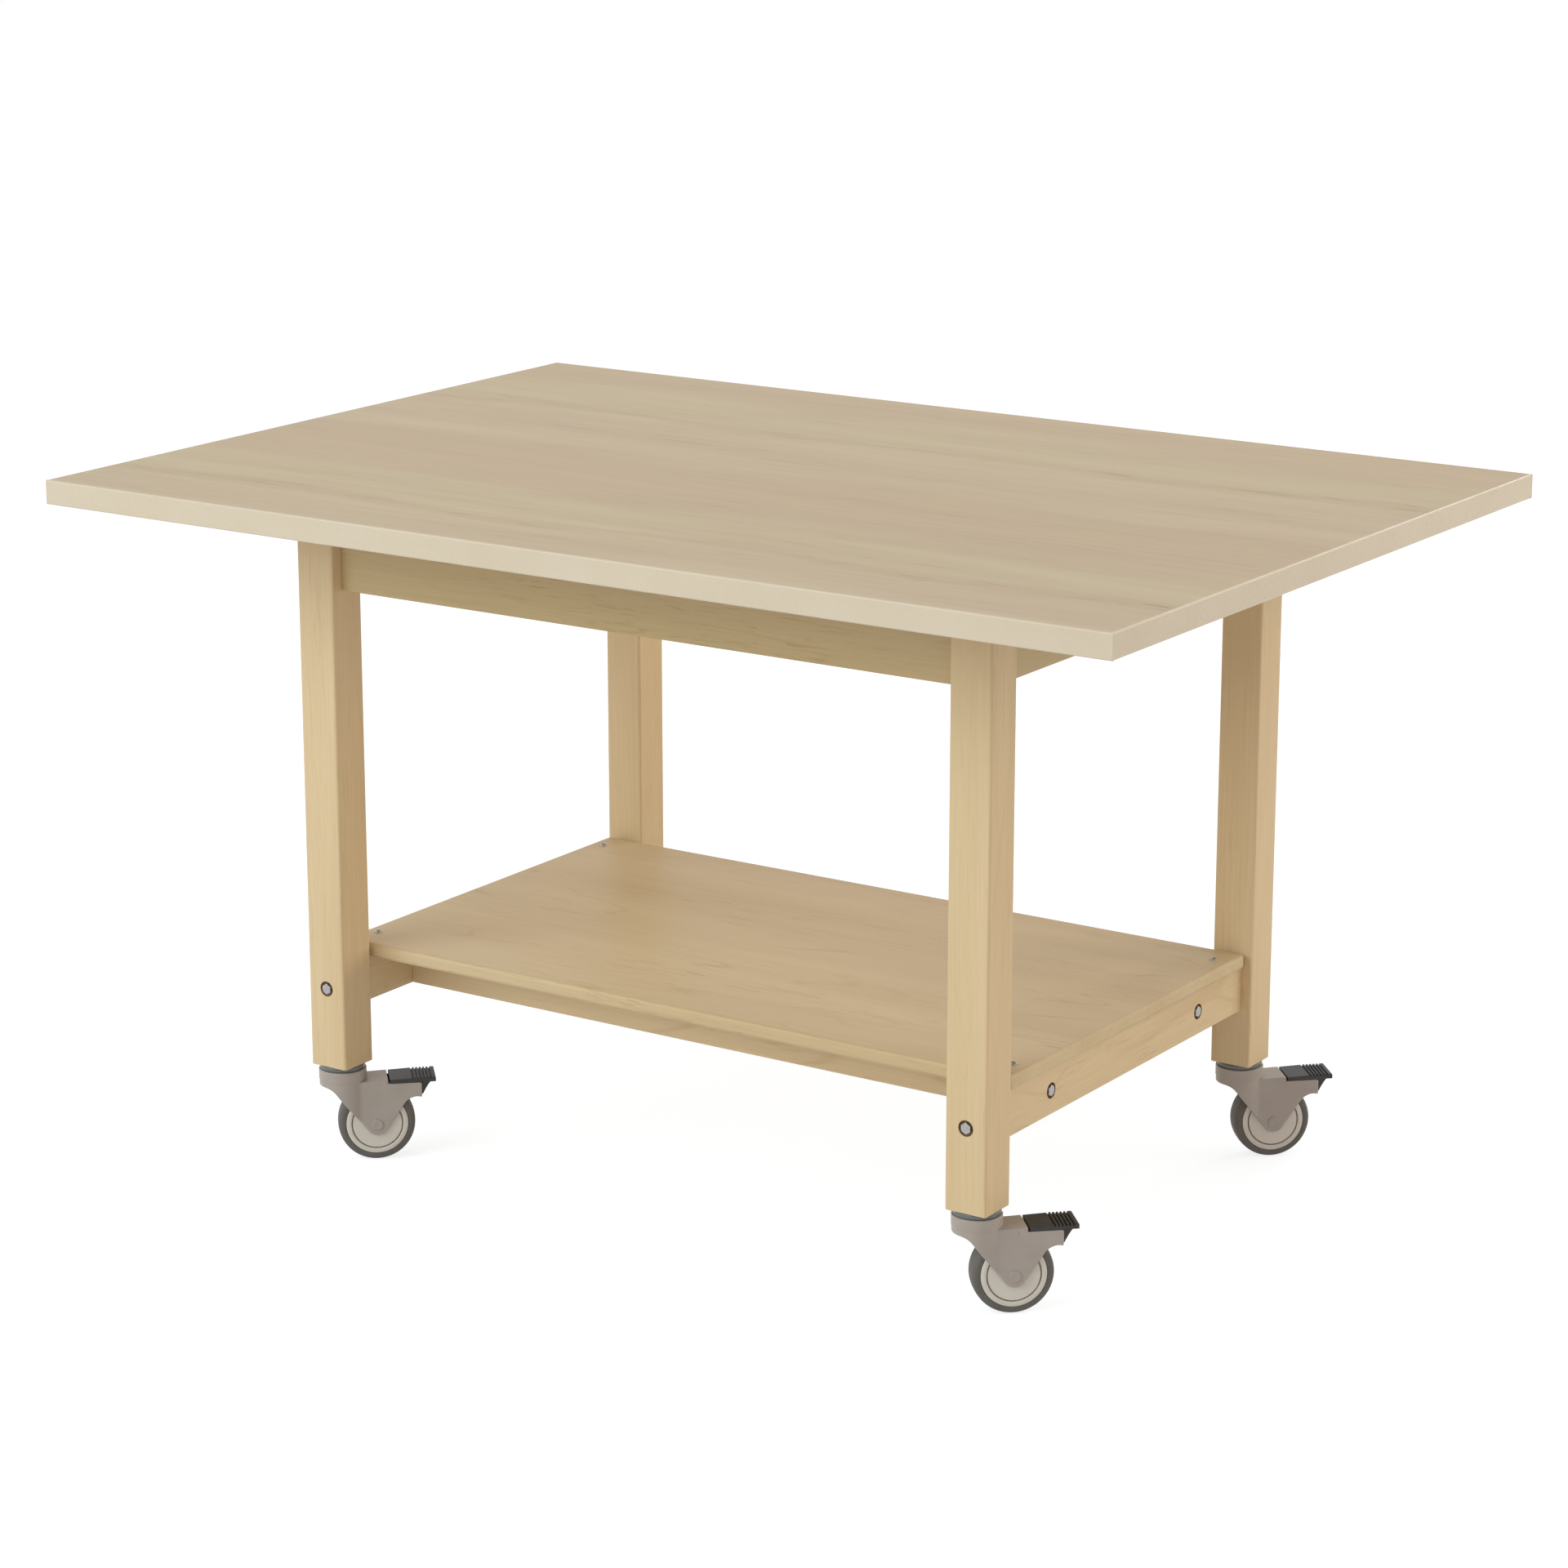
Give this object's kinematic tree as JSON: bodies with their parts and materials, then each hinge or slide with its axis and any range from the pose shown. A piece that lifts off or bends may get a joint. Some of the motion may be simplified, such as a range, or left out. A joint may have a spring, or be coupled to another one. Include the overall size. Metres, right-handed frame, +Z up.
{
  "type": "assembly table",
  "caption": "Wooden assembly table: laminate worktop with edge bands on square legs and aprons, lower shelf on bolted rails, and swivel casters with brake pedals.",
  "frame": {"origin": "on the floor, under the middle of the tabletop", "axes": "+X along the long side to the right seen from the front, +Y to the back, +Z up"},
  "size_m": [1.524, 1.065, 0.899],
  "materials": {
    "laminate_maple": "satin laminate with a pale maple grain",
    "panel_core": "raw particle board",
    "backer_sheet": "plain brown backer",
    "edge_band": "plain pale band",
    "solid_maple": "clear satin lacquer",
    "zinc_steel": "zinc plated",
    "bearing_ring": "dark grey, satin",
    "caster_housing": "warm grey moulded plastic",
    "axle_cap": "warm grey cap on a steel pin",
    "wheel_core": "light grey moulded plastic",
    "tyre_rubber": "grey non-marking rubber",
    "pedal_black": "black moulded plastic"
  },
  "bodies": {
    "table": {"tabletop_laminate": "laminate_maple", "tabletop_core": "panel_core", "tabletop_backer": "backer_sheet", "edge_band_front": "edge_band", "edge_band_back": "edge_band", "edge_band_left": "edge_band", "edge_band_right": "edge_band", "leg_front_left": "solid_maple", "leg_front_right": "solid_maple", "leg_back_left": "solid_maple", "leg_back_right": "solid_maple", "apron_front": "solid_maple", "apron_back": "solid_maple", "apron_left": "solid_maple", "apron_right": "solid_maple", "corner_block_front_left": "solid_maple", "corner_block_front_right": "solid_maple", "corner_block_back_left": "solid_maple", "corner_block_back_right": "solid_maple", "end_rail_left": "solid_maple", "end_rail_right": "solid_maple", "stretcher_front": "solid_maple", "stretcher_back": "solid_maple", "lower_shelf": "solid_maple", "leg_bolt_front_left": "zinc_steel", "leg_bolt_front_right": "zinc_steel", "leg_bolt_back_left": "zinc_steel", "leg_bolt_back_right": "zinc_steel", "rail_bolt_front_left": "zinc_steel", "rail_bolt_front_right": "zinc_steel", "rail_bolt_back_left": "zinc_steel", "rail_bolt_back_right": "zinc_steel", "shelf_screw_front_left": "zinc_steel", "shelf_screw_front_right": "zinc_steel", "shelf_screw_back_left": "zinc_steel", "shelf_screw_back_right": "zinc_steel", "caster_stem_front_left": "bearing_ring", "caster_stem_front_right": "bearing_ring", "caster_stem_back_left": "bearing_ring", "caster_stem_back_right": "bearing_ring"},
    "swivel_front_left": {"caster_fork_front_left": "caster_housing", "caster_axle_front_left": "axle_cap"},
    "wheel_front_left": {"caster_wheel_front_left": "wheel_core", "caster_tyre_front_left": "tyre_rubber"},
    "pedal_front_left": {"brake_pedal_front_left": "pedal_black"},
    "swivel_front_right": {"caster_fork_front_right": "caster_housing", "caster_axle_front_right": "axle_cap"},
    "wheel_front_right": {"caster_wheel_front_right": "wheel_core", "caster_tyre_front_right": "tyre_rubber"},
    "pedal_front_right": {"brake_pedal_front_right": "pedal_black"},
    "swivel_back_left": {"caster_fork_back_left": "caster_housing", "caster_axle_back_left": "axle_cap"},
    "wheel_back_left": {"caster_wheel_back_left": "wheel_core", "caster_tyre_back_left": "tyre_rubber"},
    "pedal_back_left": {"brake_pedal_back_left": "pedal_black"},
    "swivel_back_right": {"caster_fork_back_right": "caster_housing", "caster_axle_back_right": "axle_cap"},
    "wheel_back_right": {"caster_wheel_back_right": "wheel_core", "caster_tyre_back_right": "tyre_rubber"},
    "pedal_back_right": {"brake_pedal_back_right": "pedal_black"}
  },
  "joints": [
    {"name": "swivel_turn_front_left", "type": "hinge", "parent": "table", "child": "swivel_front_left", "pos_m": [-0.48, -0.3275, 0.1245], "axis": [0, 0, 1], "continuous": true},
    {"name": "wheel_spin_front_left", "type": "hinge", "parent": "swivel_front_left", "child": "wheel_front_left", "pos_m": [-0.44908, -0.29907, 0.05], "axis": [-0.6769, 0.7361, 0], "continuous": true},
    {"name": "pedal_lift_front_left", "type": "hinge", "parent": "swivel_front_left", "child": "pedal_front_left", "pos_m": [-0.43399, -0.2852, 0.1005], "axis": [0.6769, -0.7361, 0], "range_deg": [0, 12]},
    {"name": "swivel_turn_front_right", "type": "hinge", "parent": "table", "child": "swivel_front_right", "pos_m": [0.48, -0.3275, 0.1245], "axis": [0, 0, 1], "continuous": true},
    {"name": "wheel_spin_front_right", "type": "hinge", "parent": "swivel_front_right", "child": "wheel_front_right", "pos_m": [0.51092, -0.29907, 0.05], "axis": [-0.6769, 0.7361, 0], "continuous": true},
    {"name": "pedal_lift_front_right", "type": "hinge", "parent": "swivel_front_right", "child": "pedal_front_right", "pos_m": [0.52601, -0.2852, 0.1005], "axis": [0.6769, -0.7361, 0], "range_deg": [0, 12]},
    {"name": "swivel_turn_back_left", "type": "hinge", "parent": "table", "child": "swivel_back_left", "pos_m": [-0.48, 0.3275, 0.1245], "axis": [0, 0, 1], "continuous": true},
    {"name": "wheel_spin_back_left", "type": "hinge", "parent": "swivel_back_left", "child": "wheel_back_left", "pos_m": [-0.44908, 0.35593, 0.05], "axis": [-0.6769, 0.7361, 0], "continuous": true},
    {"name": "pedal_lift_back_left", "type": "hinge", "parent": "swivel_back_left", "child": "pedal_back_left", "pos_m": [-0.43399, 0.3698, 0.1005], "axis": [0.6769, -0.7361, 0], "range_deg": [0, 12]},
    {"name": "swivel_turn_back_right", "type": "hinge", "parent": "table", "child": "swivel_back_right", "pos_m": [0.48, 0.3275, 0.1245], "axis": [0, 0, 1], "continuous": true},
    {"name": "wheel_spin_back_right", "type": "hinge", "parent": "swivel_back_right", "child": "wheel_back_right", "pos_m": [0.51092, 0.35593, 0.05], "axis": [-0.6769, 0.7361, 0], "continuous": true},
    {"name": "pedal_lift_back_right", "type": "hinge", "parent": "swivel_back_right", "child": "pedal_back_right", "pos_m": [0.52601, 0.3698, 0.1005], "axis": [0.6769, -0.7361, 0], "range_deg": [0, 12]}
  ]
}
